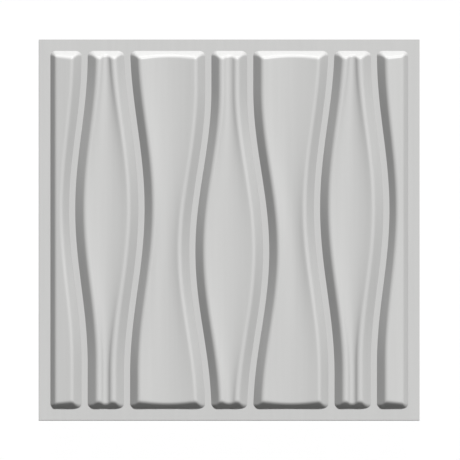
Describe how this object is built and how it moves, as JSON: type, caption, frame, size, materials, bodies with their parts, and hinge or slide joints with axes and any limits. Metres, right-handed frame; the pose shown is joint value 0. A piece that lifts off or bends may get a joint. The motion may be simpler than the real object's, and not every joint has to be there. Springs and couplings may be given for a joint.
{
  "type": "3d wall panel tile",
  "caption": "Square thin-sheet wall panel tile with a relief of wavy, dish-topped raised bars between flat strips inside a flat border, hollow behind, glued to a wall edge to edge.",
  "frame": {"origin": "middle of the back face, on the floor or wall that the tile lies on", "axes": "+Z out of the face, +Y along the bars to the picture's top, +X to the picture's right"},
  "size_m": [0.5, 0.5, 0.0144],
  "materials": {
    "pvc_sheet": "satin"
  },
  "bodies": {
    "root": {"wall_panel": "pvc_sheet"}
  },
  "joints": []
}
